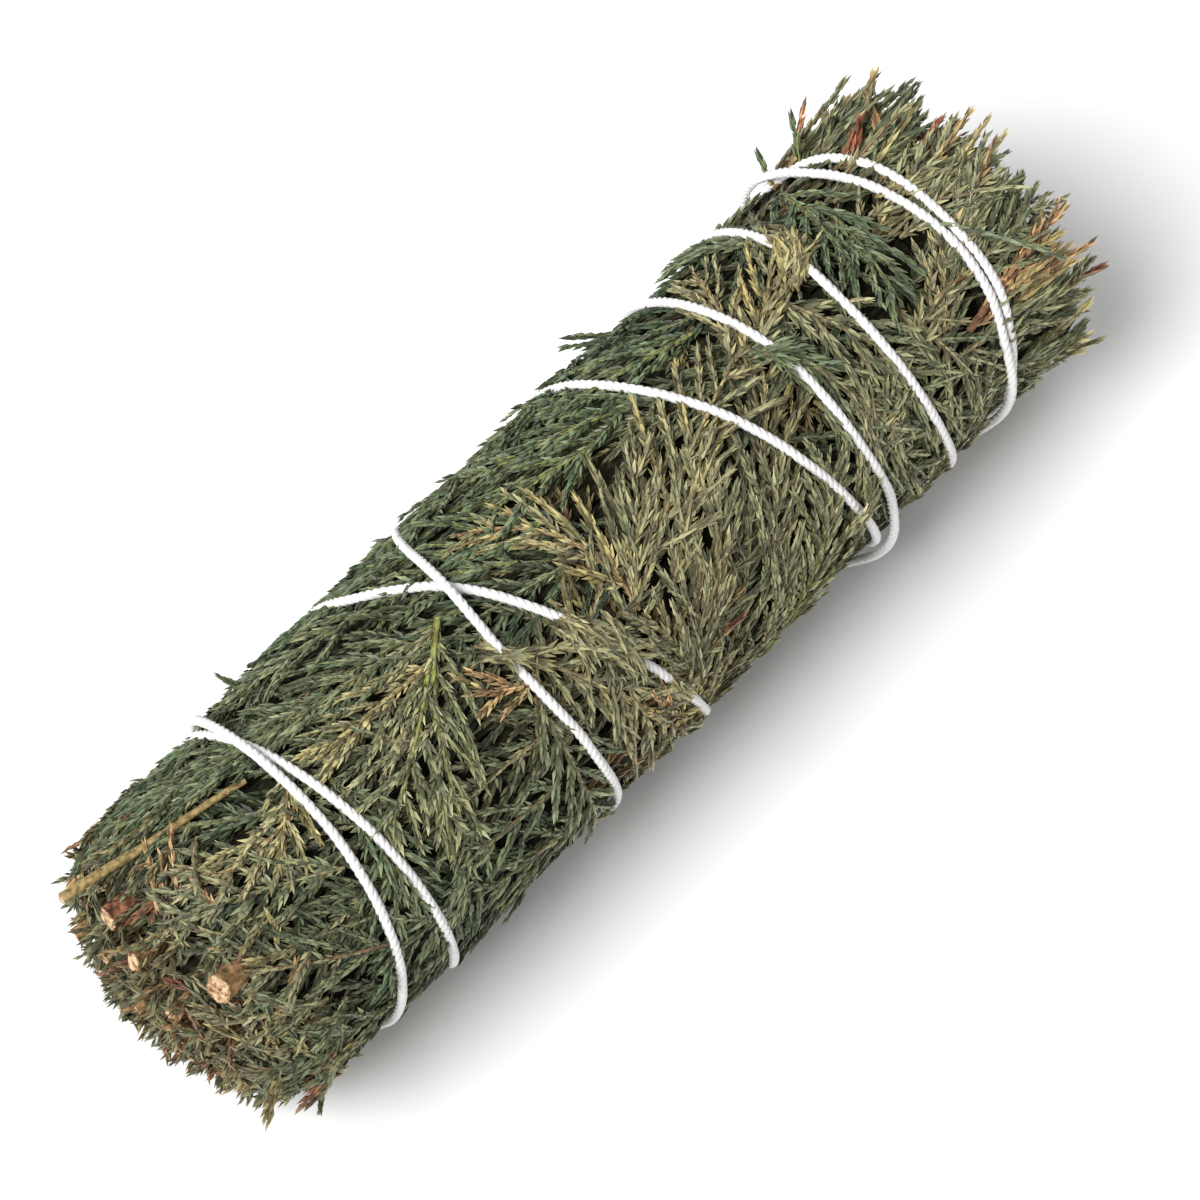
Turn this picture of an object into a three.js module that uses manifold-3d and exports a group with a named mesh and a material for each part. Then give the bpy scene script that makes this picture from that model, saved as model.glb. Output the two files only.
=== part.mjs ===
// A smudge stick: dried juniper sprigs packed side by side into a round bundle and bound with
// one length of cotton twine. It lies on the flat that its own weight has pressed underneath.
// Millimetres, +Z up. The bundle runs along X, with the cut stems at -X and the leafy tips at
// +X. Angles round it are in degrees from the top, growing towards -Y.
import * as THREE from "three";
import { mergeVertices } from "three/addons/utils/BufferGeometryUtils.js";
import Module from "manifold-3d";

const wasm = await Module();
wasm.setup();

// ---------- driving dimensions ----------
const bundleRadius = 20; // over the packed foliage, at its fullest
const flatDepth = 1; // how far the underside is pressed flat
const sprigGap = 0.35; // air between neighbouring sprigs
const twineDiameter = 1.2;
const twineSunk = 0.75; // depth of the twine's centre line under the foliage surface
const grooveRadius = twineDiameter / 2 + 0.5;
const besideTwine = twineDiameter + 0.05; // centre to centre where two strands lie side by side
const overTwine = twineDiameter + 0.35; // centre to centre where one rides over the other
const stepsPerTurn = 24;
const upwardTurns = 4.75; // turns wound before the twine heads back over itself

const axisHeight = bundleRadius - flatDepth;

// How the radius over the foliage changes along the bundle, as [x, radius]. It rounds off at the
// cut stems, is pinched by the double wrap near the tips, and flares where the tips are loose.
const outline = [
  [-69, 5],
  [-67.5, 11],
  [-64.3, 16],
  [-57.5, 19],
  [-43, 19.8],
  [-14, 20],
  [20, 20],
  [44, 19.8],
  [55.5, 18.9],
  [63, 20],
  [68, 19.4],
  [71.5, 17],
];

// The sprigs lie in three rings. Each fills a sector of its ring, its ends rounded by the bevel
// and cut at "from", less the ring's slant towards +Y. A woody stem pokes out of the cut end.
const rings = [
  { name: "outer", count: 11, inner: 11.4, outer: 24, from: -67, slant: 3.5, bevel: 1.8, stemAt: 14.4 },
  { name: "inner", count: 7, inner: 5.2, outer: 11, from: -68.2, slant: 2, bevel: 1.4, stemAt: 8.2 },
  { name: "core", count: 3, inner: 0.25, outer: 4.8, from: -69, slant: 0, bevel: 0.9, stemAt: 2.5 },
];
const bevelLength = 3.2;
const tipReach = { least: 63.5, spread: 6 }; // where the sprigs' tips end
const cutSpread = 2; // how unevenly the stems were trimmed
const stem = { thin: 1.05, thick: 1.6, least: 0.4, spread: 1.6 };

// The twine's route, as [degrees wound, x]. It starts in the knot behind the bundle, spirals up
// to the tips in five turns, doubles round them, and comes back down over itself to the knot.
const route = [
  [-110, -44.5],
  [-70, -43.8],
  [20, -41.4],
  [110, -39.1],
  [200, -31],
  [290, -22.6],
  [315, -21],
  [347, -14.3],
  [380, -9],
  [425, -2.6],
  [470, 2.9],
  [560, 8.5],
  [650, 14.1],
  [690, 16.8],
  [740, 23],
  [785, 27.8],
  [830, 32.2],
  [920, 37.5],
  [1010, 42.4],
  [1055, 42.9],
  [1100, 41.8],
  [1145, 42.4],
  [1190, 45.4],
  [1280, 49.5],
  [1370, 53],
  [1390, 56.3],
  [1412, 57.9],
  [1460, 58.3],
  [1487, 57.9],
  [1509, 56.5],
  [1550, 54.8],
  [1640, 54],
  [1730, 52.6],
  [1758, 54.5],
  [1792, 56.2],
  [1820, 57],
  [1847, 56.6],
  [1869, 55.2],
  [1910, 53.3],
  [1945, 46.9],
  [2000, 40.5],
  [2090, 30],
  [2127, 30.7],
  [2165, 31.9],
  [2212, 32.3],
  [2256, 33.6],
  [2278, 32.6],
  [2360, 12],
  [2450, -8.4],
  [2507, -15],
  [2540, -16.4],
  [2582, -15.1],
  [2630, -13],
  [2720, -27],
  [2810, -41.1],
  [2900, -44.5],
  [2990, -48.5],
  [3060, -48.6],
  [3130, -46],
];
const knot = { degrees: 250, x: -45.25, long: 2.4, wide: 1.9, tall: 1.4 };
const tailLength = 8;

// ---------- solids ----------
function solidOf(geometry) {
  const bare = geometry.index ? geometry.toNonIndexed() : geometry.clone();
  bare.deleteAttribute("normal");
  bare.deleteAttribute("uv");
  const merged = mergeVertices(bare, 1e-3);
  return new wasm.Manifold(
    new wasm.Mesh({
      numProp: 3,
      vertProperties: merged.attributes.position.array,
      triVerts: new Uint32Array(merged.index.array),
    }),
  );
}

function geometryOf(solid) {
  const mesh = solid.getMesh();
  const position = new THREE.BufferAttribute(new Float32Array(mesh.vertProperties), 3);
  const geometry = new THREE.BufferGeometry().setAttribute("position", position);
  geometry.setIndex(new THREE.BufferAttribute(new Uint32Array(mesh.triVerts), 1));
  geometry.computeVertexNormals();
  return geometry;
}

// A cut can leave a crumb between two crossing grooves; only the body itself is kept.
function withoutCrumbs(solid) {
  const bodies = solid.decompose();
  return bodies.reduce((largest, body) => (body.volume() > largest.volume() ? body : largest));
}

// Turns a shape drawn in (y, z) and extruded, so that it stands along X.
function layAlongX(geometry) {
  const [x, y, z] = [[1, 0, 0], [0, 1, 0], [0, 0, 1]].map((axis) => new THREE.Vector3(...axis));
  return geometry.applyMatrix4(new THREE.Matrix4().makeBasis(y, z, x));
}

// ---------- the bundle's surface ----------
const radians = THREE.MathUtils.degToRad;
const across = (radius, degrees) => -radius * Math.sin(radians(degrees));
const up = (radius, degrees) => axisHeight + radius * Math.cos(radians(degrees));

function surfaceRadius(x) {
  const next = outline.findIndex(([at]) => at > x);
  const [[x0, r0], [x1, r1]] = [outline[next - 1], outline[next]];
  return THREE.MathUtils.mapLinear(x, x0, x1, r0, r1);
}

// A point at a depth under the foliage surface, always high enough to keep twine off the floor.
function pointUnder(x, degrees, depth) {
  const radius = surfaceRadius(x) - depth;
  return new THREE.Vector3(x, across(radius, degrees), Math.max(up(radius, degrees), twineSunk));
}

// The whole bundle as one round body, pressed flat underneath.
function wholeBundle() {
  const facets = 3 * rings[0].count;
  const ends = [outline[0], outline.at(-1)].map(([x]) => new THREE.Vector2(0, x));
  const sides = outline.map(([x, radius]) => new THREE.Vector2(radius, x));
  const round = new THREE.LatheGeometry([ends[0], ...sides, ends[1]], facets);
  round.rotateZ(-Math.PI / 2);
  round.translate(0, 0, axisHeight);
  const room = 8 * bundleRadius;
  const floor = new THREE.BoxGeometry(room, room, room).translate(0, 0, -room / 2);
  return solidOf(round).subtract(solidOf(floor));
}

// ---------- twine ----------
// How far a strand has to rise to clear the nearest turn wound before it.
function riseOver(points, index, turnLength) {
  let nearest = besideTwine;
  for (let i = 0; i < index - turnLength / 2; i++) {
    nearest = Math.min(nearest, points[i].distanceTo(points[index]));
  }
  return overTwine * Math.sqrt(1 - (nearest / besideTwine) ** 2);
}

// Points along the twine's centre line, each crossing eased over the strand beneath it.
function twineCentreLine() {
  const finer = 8;
  const ease = 1.5 * finer;
  const turnLength = stepsPerTurn * finer;
  const winding = new THREE.CatmullRomCurve3(route.map(([turned, x]) => new THREE.Vector3(turned, x, 0)));
  const steps = Math.round(((route.at(-1)[0] - route[0][0]) / 360) * turnLength);
  const wound = winding.getSpacedPoints(steps);
  const flush = wound.map((at) => pointUnder(at.y, at.x, twineSunk));
  const rise = flush.map((_, i) => riseOver(flush, i, turnLength));
  const line = [];
  for (let i = 0; i <= steps; i += finer) {
    let lift = 0;
    for (let off = -ease; off <= ease; off++) {
      const share = Math.cos(((off / ease) * Math.PI) / 2);
      lift = Math.max(lift, (rise[i + off] ?? 0) * share);
    }
    line.push(pointUnder(wound[i].y, wound[i].x, twineSunk - lift));
  }
  return line;
}

function tube(points, radius) {
  const sides = 6;
  const corners = Array.from({ length: sides }, (_, i) =>
    new THREE.Vector2(radius, 0).rotateAround(new THREE.Vector2(), (i / sides) * 2 * Math.PI),
  );
  const extrudePath = new THREE.CatmullRomCurve3(points);
  const steps = points.length - 1;
  return solidOf(new THREE.ExtrudeGeometry(new THREE.Shape(corners), { steps, extrudePath }));
}

function knotBody(grow) {
  const ball = new THREE.SphereGeometry(1, 12, 8);
  ball.scale(knot.long + grow, knot.wide + grow, knot.tall + grow);
  ball.rotateX(radians(knot.degrees));
  const centre = pointUnder(knot.x, knot.degrees, 0.2);
  return solidOf(ball.translate(centre.x, centre.y, centre.z));
}

// A loose end, lying on the bundle from the knot towards one end of it.
function tail(side) {
  const points = [0.1, 0.4, 0.7, 1].map((share) => {
    const x = knot.x + side * share * tailLength;
    return pointUnder(x, knot.degrees - 3 - 10 * share ** 2, -twineDiameter / 2 - sprigGap);
  });
  return tube(points, twineDiameter / 2);
}

// The channels that the twine presses into the foliage: on the way up, and on the way back.
function twineChannels(line) {
  const last = upwardTurns * stepsPerTurn;
  const upward = tube(line.slice(0, last + 1), grooveRadius);
  const back = tube(line.slice(last - 1), grooveRadius);
  return upward.add(back).add(knotBody(sprigGap));
}

// ---------- sprigs ----------
// A share from 0 to 1 that differs from each sprig to the next.
const uneven = (index, count) => ((index * 4 + 1) % count) / (count - 1);

// The outline of a sector in (y, z), its sides set back by half the gap.
function sectorShape(ring, middle) {
  const half = 180 / ring.count;
  const arc = (radius) => {
    const set = THREE.MathUtils.radToDeg(Math.asin(sprigGap / 2 / radius));
    const chords = Math.max(1, Math.round(radians(2 * half) * radius / 2.5));
    return Array.from({ length: chords + 1 }, (_, i) => {
      const degrees = middle + (half - set) * ((2 * i) / chords - 1);
      return new THREE.Vector2(across(radius, degrees), up(radius, degrees));
    });
  };
  const tip = [new THREE.Vector2(across(ring.inner, middle), up(ring.inner, middle))];
  const inside = ring.inner > 1 ? arc(ring.inner) : tip;
  return new THREE.Shape([...inside, ...arc(ring.outer).reverse()]);
}

function sprigBody(ring, index, bundle) {
  const middle = ((index + 0.5) * 360) / ring.count;
  const share = uneven(index, ring.count);
  const cutBack = ring.slant * (0.5 - 0.5 * Math.sin(radians(middle)));
  const from = ring.from + cutBack + cutSpread * share;
  const to = tipReach.least + tipReach.spread * uneven(index + 1, ring.count);
  const blunt = new THREE.ExtrudeGeometry(sectorShape(ring, middle), {
    depth: to - from - 2 * bevelLength,
    bevelThickness: bevelLength,
    bevelSize: ring.bevel,
    bevelOffset: -ring.bevel,
    bevelSegments: 2,
  });
  layAlongX(blunt).translate(from + bevelLength, 0, 0);
  const stick = stem.least + stem.spread * share;
  const radius = THREE.MathUtils.lerp(stem.thick, stem.thin, share);
  const length = 12;
  const wood = new THREE.CylinderGeometry(radius, radius, length, 8).rotateZ(-Math.PI / 2);
  wood.translate(from - stick + length / 2, across(ring.stemAt, middle), up(ring.stemAt, middle));
  return solidOf(blunt).intersect(bundle).add(solidOf(wood));
}

// ---------- the whole part ----------
const leafColours = [0x5d6345, 0x6b6a4a, 0x57604a, 0x746f4a];
const twineColour = 0xe6e0d2;
const smudgeStick = new THREE.Group();

function addPiece(name, solid, colour) {
  const material = new THREE.MeshStandardMaterial({ color: colour, roughness: 0.85 });
  const piece = new THREE.Mesh(geometryOf(solid), material);
  piece.name = name;
  smudgeStick.add(piece);
}

const line = twineCentreLine();
const channels = twineChannels(line);
const bundle = wholeBundle();

for (const ring of rings) {
  for (let index = 0; index < ring.count; index++) {
    const name = `sprig_${ring.name}_${String(index + 1).padStart(2, "0")}`;
    const sprig = withoutCrumbs(sprigBody(ring, index, bundle).subtract(channels));
    addPiece(name, sprig, leafColours[index % leafColours.length]);
  }
}

const cord = tube(line, twineDiameter / 2).add(knotBody(0)).add(tail(1)).add(tail(-1));
addPiece("twine", cord, twineColour);

export default smudgeStick;
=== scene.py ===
import math
import bmesh
import bpy
import numpy as np
from mathutils import Matrix, Vector


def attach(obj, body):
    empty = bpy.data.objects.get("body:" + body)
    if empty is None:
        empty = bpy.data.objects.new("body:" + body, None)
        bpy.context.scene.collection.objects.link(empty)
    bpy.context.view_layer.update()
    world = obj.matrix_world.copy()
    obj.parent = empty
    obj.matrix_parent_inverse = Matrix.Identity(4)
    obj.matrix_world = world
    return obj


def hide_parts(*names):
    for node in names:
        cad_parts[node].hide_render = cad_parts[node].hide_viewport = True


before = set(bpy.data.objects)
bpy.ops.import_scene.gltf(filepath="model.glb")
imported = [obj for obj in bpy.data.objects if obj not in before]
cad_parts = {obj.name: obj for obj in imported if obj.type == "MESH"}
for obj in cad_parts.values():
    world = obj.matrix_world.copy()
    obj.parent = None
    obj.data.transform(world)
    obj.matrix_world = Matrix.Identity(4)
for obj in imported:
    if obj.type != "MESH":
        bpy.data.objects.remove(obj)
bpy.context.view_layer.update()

scene = bpy.context.scene
mm = 0.001

# the round bundle that everything is laid on; angles go round it from the top towards -Y
bundle = {
    "axisHeight": 19 * mm,
    "domeFrom": -57.5 * mm,  # the rounded cut end starts here
    "domeLength": 11.5 * mm,
    "floorGap": 0.7 * mm,  # how near the table a shoot's stem may lie
    "outline": [
        (-57.5, 19.0), (-43, 19.8), (-14, 20), (20, 20), (44, 19.8), (55.5, 18.9), (62, 19.7), (90, 19.7)
    ],
}


def radiusAt(x):
    spots = np.array(bundle["outline"]) * mm
    return np.interp(x, spots[:, 0], spots[:, 1])


def radialOf(degrees):
    turn = np.radians(degrees)
    return np.stack([np.zeros_like(turn), -np.sin(turn), np.cos(turn)], -1)


def onBundle(x, degrees, depth):
    x, degrees, depth = np.broadcast_arrays(*(np.asarray(v, float) for v in (x, degrees, depth)))
    spot = radialOf(degrees) * (radiusAt(x) - depth)[..., None]
    spot[..., 0] = x
    spot[..., 2] += bundle["axisHeight"]
    return spot


def unit(vectors):
    return vectors / np.maximum(np.linalg.norm(vectors, axis=-1, keepdims=True), 1e-12)


# moves points to a depth under the foliage surface, and gives the way out of the bundle there
def settle(points, depth):
    centre = np.zeros_like(points)
    centre[:, 0] = points[:, 0]
    centre[:, 2] = bundle["axisHeight"]
    out = points - centre
    radius = np.linalg.norm(out, axis=1)
    radial = unit(out)
    spots = centre + radial * (radiusAt(points[:, 0]) - depth)[:, None]
    normals = radial.copy()
    dome = points[:, 0] < bundle["domeFrom"]
    if dome.any():
        long, wide = bundle["domeLength"], radiusAt(bundle["domeFrom"])
        qx = (points[dome, 0] - bundle["domeFrom"]) / long
        qr = radius[dome] / wide
        size = np.maximum(np.hypot(qx, qr), 1e-6)
        qx, qr = qx / size, qr / size
        normal = unit(np.stack([qx / long, qr / wide], 1))
        spots[dome] = radial[dome] * (wide * qr - depth[dome] * normal[:, 1])[:, None]
        spots[dome, 0] = bundle["domeFrom"] + long * qx - depth[dome] * normal[:, 0]
        spots[dome, 2] += bundle["axisHeight"]
        normals[dome] = radial[dome] * normal[:, 1:]
        normals[dome, 0] = normal[:, 0]
    spots[:, 2] = np.maximum(spots[:, 2], bundle["floorGap"])
    return spots, normals


# camera
view = {
    "azimuth": -48.2, "elevation": 61.5, "distance": 0.711, "lens": 190, "right": 3.6 * mm, "up": 0.7 * mm
}


def addCamera():
    turn, rise = math.radians(view["azimuth"]), math.radians(view["elevation"])
    back = Vector((math.sin(turn) * math.cos(rise), -math.cos(turn) * math.cos(rise), math.sin(rise)))
    right = Vector((math.cos(turn), math.sin(turn), 0))
    up = back.cross(right)
    aim = Vector((0, 0, bundle["axisHeight"])) + right * view["right"] + up * view["up"]
    data = bpy.data.cameras.new("camera")
    data.lens = view["lens"]
    data.sensor_width = 36
    data.clip_start, data.clip_end = 0.01, 20
    camera = bpy.data.objects.new("camera", data)
    camera.matrix_world = Matrix.Translation(aim + back * view["distance"]) @ Matrix(
        (right, up, back)
    ).transposed().to_4x4()
    scene.collection.objects.link(camera)
    scene.camera = camera


addCamera()
print("camera placed")


def add(tree, kind, into=None, **settings):
    node = tree.nodes.new(kind)
    for key, value in settings.items():
        setattr(node, key, value)
    for key, value in (into or {}).items():
        socket = node.inputs[key]
        if isinstance(value, bpy.types.NodeSocket):
            tree.links.new(value, socket)
        else:
            socket.default_value = value
    return node


def maths(tree, operation, *values):
    return add(tree, "ShaderNodeMath", dict(enumerate(values)), operation=operation).outputs[0]


def vectorMaths(tree, operation, *values, scale=None):
    into = dict(enumerate(values))
    if scale is not None:
        into["Scale"] = scale
    node = add(tree, "ShaderNodeVectorMath", into, operation=operation)
    return node.outputs["Value" if operation in ("LENGTH", "DOT_PRODUCT") else "Vector"]


def randomValue(tree, low, high, seed):
    node = add(tree, "FunctionNodeRandomValue", {2: low, 3: high, "Seed": seed}, data_type="FLOAT")
    return node.outputs[1]


def stored(tree, name, kind="FLOAT"):
    node = add(tree, "GeometryNodeInputNamedAttribute", {"Name": name}, data_type=kind)
    return node.outputs["Attribute"]


def store(tree, geometry, name, value, domain="POINT"):
    into = {"Geometry": geometry, "Name": name, "Value": value}
    return add(tree, "GeometryNodeStoreNamedAttribute", into, data_type="FLOAT", domain=domain).outputs[0]


def startTree(name, inputs):
    tree = bpy.data.node_groups.new(name, "GeometryNodeTree")
    tree.is_modifier = True
    tree.interface.new_socket(name="Geometry", in_out="INPUT", socket_type="NodeSocketGeometry")
    tree.interface.new_socket(name="Geometry", in_out="OUTPUT", socket_type="NodeSocketGeometry")
    for label, value in inputs.items():
        kind = "NodeSocketInt" if isinstance(value, int) else "NodeSocketFloat"
        tree.interface.new_socket(name=label, in_out="INPUT", socket_type=kind).default_value = value
    return tree, tree.nodes.new("NodeGroupInput").outputs


def endTree(tree, geometry):
    joined = add(tree, "GeometryNodeRealizeInstances", {"Geometry": geometry}).outputs[0]
    tree.links.new(joined, tree.nodes.new("NodeGroupOutput").inputs[0])


def withMaterial(tree, geometry, material):
    node = add(tree, "GeometryNodeSetMaterial", {"Geometry": geometry})
    node.inputs["Material"].default_value = material
    return node.outputs[0]


# runs a tree on a mesh and gives back the plain mesh it makes
def grown(mesh, tree, values):
    carrier = bpy.data.objects.new(mesh.name, mesh)
    scene.collection.objects.link(carrier)
    modifier = carrier.modifiers.new("grow", "NODES")
    modifier.node_group = tree
    for item in tree.interface.items_tree:
        if item.in_out == "INPUT" and item.name in values:
            modifier[item.identifier] = values[item.name]
    carrier.data.update()
    seen = carrier.evaluated_get(bpy.context.evaluated_depsgraph_get())
    made = bpy.data.meshes.new_from_object(seen)
    carrier.modifiers.remove(modifier)
    bpy.data.objects.remove(carrier)
    return made


def lineMesh(name, lines, **attributes):
    points = np.concatenate(lines)
    edges, first = [], 0
    for line in lines:
        index = np.arange(first, first + len(line) - 1)
        edges.append(np.stack([index, index + 1], 1))
        first += len(line)
    mesh = bpy.data.meshes.new(name)
    mesh.from_pydata(points, np.concatenate(edges), [])
    for key, values in attributes.items():
        values = np.concatenate(values)
        kind = "FLOAT_VECTOR" if values.ndim == 2 else "FLOAT"
        data = mesh.attributes.new(key, kind, "POINT").data
        data.foreach_set("vector" if values.ndim == 2 else "value", values.astype(np.float32).ravel())
    return mesh


def startMaterial(name, roughness=0.6, specular=0.3):
    material = bpy.data.materials.new(name)
    material.use_nodes = True
    tree = material.node_tree
    shader = tree.nodes["Principled BSDF"]
    shader.inputs["Roughness"].default_value = roughness
    shader.inputs["Specular IOR Level"].default_value = specular
    return material, tree, shader


def attribute(tree, name):
    return add(tree, "ShaderNodeAttribute", attribute_name=name).outputs["Fac"]


def ramp(tree, factor, stops):
    node = add(tree, "ShaderNodeValToRGB", {"Fac": factor})
    line = node.color_ramp
    while len(line.elements) < len(stops):
        line.elements.new(0.5)
    for element, (spot, colour) in zip(line.elements, stops):
        element.position = spot
        element.color = (*colour, 1)
    return node.outputs["Color"]


def mixColour(tree, factor, a, b, blend="MIX"):
    node = add(tree, "ShaderNodeMix", data_type="RGBA", blend_type=blend)
    for socket, value in ((node.inputs[0], factor), (node.inputs[6], a), (node.inputs[7], b)):
        if isinstance(value, bpy.types.NodeSocket):
            tree.links.new(value, socket)
        else:
            socket.default_value = (*value, 1) if isinstance(value, tuple) else value
    return node.outputs[2]


def needleMaterial():
    material, tree, shader = startMaterial("driedNeedles", 0.5, 0.4)
    place = add(tree, "ShaderNodeTexCoord").outputs["Object"]
    patches = add(
        tree, "ShaderNodeTexNoise", {"Vector": place, "Scale": 260.0, "Detail": 2.0}
    ).outputs["Fac"]
    dryness = maths(
        tree, "ADD", attribute(tree, "dry"),
        maths(tree, "MULTIPLY", maths(tree, "SUBTRACT", patches, 0.5), 0.35)
    )
    greens = ramp(
        tree,
        dryness,
        [
            (0.0, (0.085, 0.12, 0.068)),
            (0.25, (0.15, 0.165, 0.092)),
            (0.5, (0.225, 0.213, 0.122)),
            (0.68, (0.28, 0.238, 0.105)),
            (0.84, (0.33, 0.205, 0.105)),
            (1.0, (0.20, 0.07, 0.04)),
        ],
    )
    shade = ramp(
        tree, attribute(tree, "shade"),
        [(0.0, (0.35, 0.35, 0.35)), (0.5, (0.95, 0.95, 0.95)), (1.0, (1.8, 1.8, 1.7))]
    )
    colour = mixColour(tree, 1.0, greens, shade, "MULTIPLY")
    # painted shade: needles of sprays lying deeper in the bundle are darkened, the colour multiplied by 0 to
    # 1.12 from depthShade
    depthShade = ramp(tree, attribute(tree, "depthShade"), [(0.0, (0, 0, 0)), (1.0, (1.12, 1.12, 1.12))])
    colour = mixColour(tree, 1.0, colour, depthShade, "MULTIPLY")
    # painted shade and highlight: each needle is darkened at its base, where it meets the twig, and
    # lightened towards its tip
    needleShadeAndHighlight = ramp(
        tree, attribute(tree, "along"),
        [(0.0, (0.25, 0.22, 0.19)), (0.5, (1, 1, 1)), (1.0, (1.5, 1.45, 1.3))]
    )
    colour = mixColour(tree, 1.0, colour, needleShadeAndHighlight, "MULTIPLY")
    # painted shade: needles are mixed up to 42% towards near-black towards the cut end, from x = -54 mm to
    # -67 mm
    lengthwise = add(tree, "ShaderNodeSeparateXYZ", {0: place}).outputs["X"]
    into = {"Value": lengthwise, "From Min": -67 * mm, "From Max": -54 * mm, "To Min": 0.42, "To Max": 0.0}
    cutEndShade = add(tree, "ShaderNodeMapRange", into).outputs[0]
    colour = mixColour(tree, cutEndShade, colour, (0.03, 0.018, 0.01))
    tree.links.new(colour, shader.inputs["Base Color"])
    return material


def twigMaterial():
    material, tree, shader = startMaterial("twigs", 0.7, 0.25)
    place = add(tree, "ShaderNodeTexCoord").outputs["Object"]
    patches = add(
        tree, "ShaderNodeTexNoise", {"Vector": place, "Scale": 900.0, "Detail": 3.0}
    ).outputs["Fac"]
    base = ramp(
        tree,
        attribute(tree, "stem"),
        [
            (0.0, (0.33, 0.38, 0.10)),
            (0.15, (0.36, 0.38, 0.10)),
            (0.35, (0.22, 0.21, 0.10)),
            (0.6, (0.33, 0.26, 0.14)),
            (0.85, (0.33, 0.18, 0.10)),
            (1.0, (0.18, 0.08, 0.05)),
        ],
    )
    darker = mixColour(tree, 1.0, base, (0.4, 0.33, 0.28), "MULTIPLY")
    colour = mixColour(tree, ramp(tree, patches, [(0.4, (0, 0, 0)), (0.65, (1, 1, 1))]), base, darker)
    tree.links.new(colour, shader.inputs["Base Color"])
    return material


def packingMaterial():
    material, tree, shader = startMaterial("paintedShadePacking", 0.8, 0.15)
    place = add(tree, "ShaderNodeTexCoord").outputs["Object"]
    stretched = add(tree, "ShaderNodeMapping", {"Vector": place, "Scale": (0.35, 1.0, 1.0)}).outputs[0]
    strokes = add(
        tree, "ShaderNodeTexNoise", {"Vector": stretched, "Scale": 1600.0, "Detail": 4.0}
    ).outputs["Fac"]
    # painted shade: the packed foliage is near-black, standing for the shadow in the gaps between the
    # needles
    colour = ramp(
        tree, strokes,
        [(0.35, (0.004, 0.004, 0.002)), (0.55, (0.018, 0.016, 0.007)), (0.75, (0.05, 0.045, 0.02))]
    )
    bump = add(
        tree, "ShaderNodeBump", {"Height": strokes, "Strength": 0.8, "Distance": 0.4 * mm}
    ).outputs[0]
    tree.links.new(colour, shader.inputs["Base Color"])
    tree.links.new(bump, shader.inputs["Normal"])
    return material


def twineMaterial():
    material, tree, shader = startMaterial("cottonTwine", 0.85, 0.2)
    place = add(tree, "ShaderNodeTexCoord").outputs["Object"]
    fibres = add(
        tree, "ShaderNodeTexNoise", {"Vector": place, "Scale": 7000.0, "Detail": 3.0}
    ).outputs["Fac"]
    stains = add(
        tree, "ShaderNodeTexNoise", {"Vector": place, "Scale": 120.0, "Detail": 2.0}
    ).outputs["Fac"]
    colour = ramp(tree, fibres, [(0.3, (0.72, 0.71, 0.72)), (0.6, (0.88, 0.87, 0.86))])
    colour = mixColour(
        tree, ramp(tree, stains, [(0.5, (0, 0, 0)), (0.8, (0.25, 0.25, 0.25))]), colour, (0.70, 0.66, 0.58)
    )
    bump = add(
        tree, "ShaderNodeBump", {"Height": fibres, "Strength": 0.5, "Distance": 0.08 * mm}
    ).outputs[0]
    tree.links.new(colour, shader.inputs["Base Color"])
    tree.links.new(bump, shader.inputs["Normal"])
    shader.inputs["Sheen Weight"].default_value = 0.3
    return material


def barkMaterial():
    material, tree, shader = startMaterial("cutStems", 0.75, 0.2)
    place = add(tree, "ShaderNodeTexCoord").outputs["Object"]
    grain = add(
        tree, "ShaderNodeTexNoise", {"Vector": place, "Scale": 1500.0, "Detail": 4.0}
    ).outputs["Fac"]
    red = ramp(
        tree, grain,
        [(0.35, (0.035, 0.012, 0.009)), (0.5, (0.15, 0.055, 0.03)), (0.66, (0.38, 0.17, 0.085))]
    )
    tan = ramp(
        tree, grain, [(0.3, (0.14, 0.10, 0.03)), (0.5, (0.36, 0.28, 0.11)), (0.7, (0.50, 0.38, 0.18))]
    )
    bark = mixColour(tree, attribute(tree, "bark"), red, tan)
    wood = ramp(
        tree, grain, [(0.36, (0.12, 0.05, 0.025)), (0.48, (0.42, 0.26, 0.14)), (0.62, (0.66, 0.49, 0.3))]
    )
    colour = mixColour(tree, attribute(tree, "cut"), bark, wood)
    bump = add(tree, "ShaderNodeBump", {"Height": grain, "Strength": 0.7, "Distance": 0.15 * mm}).outputs[0]
    tree.links.new(colour, shader.inputs["Base Color"])
    tree.links.new(bump, shader.inputs["Normal"])
    return material


needleFinish = needleMaterial()
twigFinish = twigMaterial()
packingShadeFinish = packingMaterial()
twineFinish = twineMaterial()
stemFinish = barkMaterial()

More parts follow.
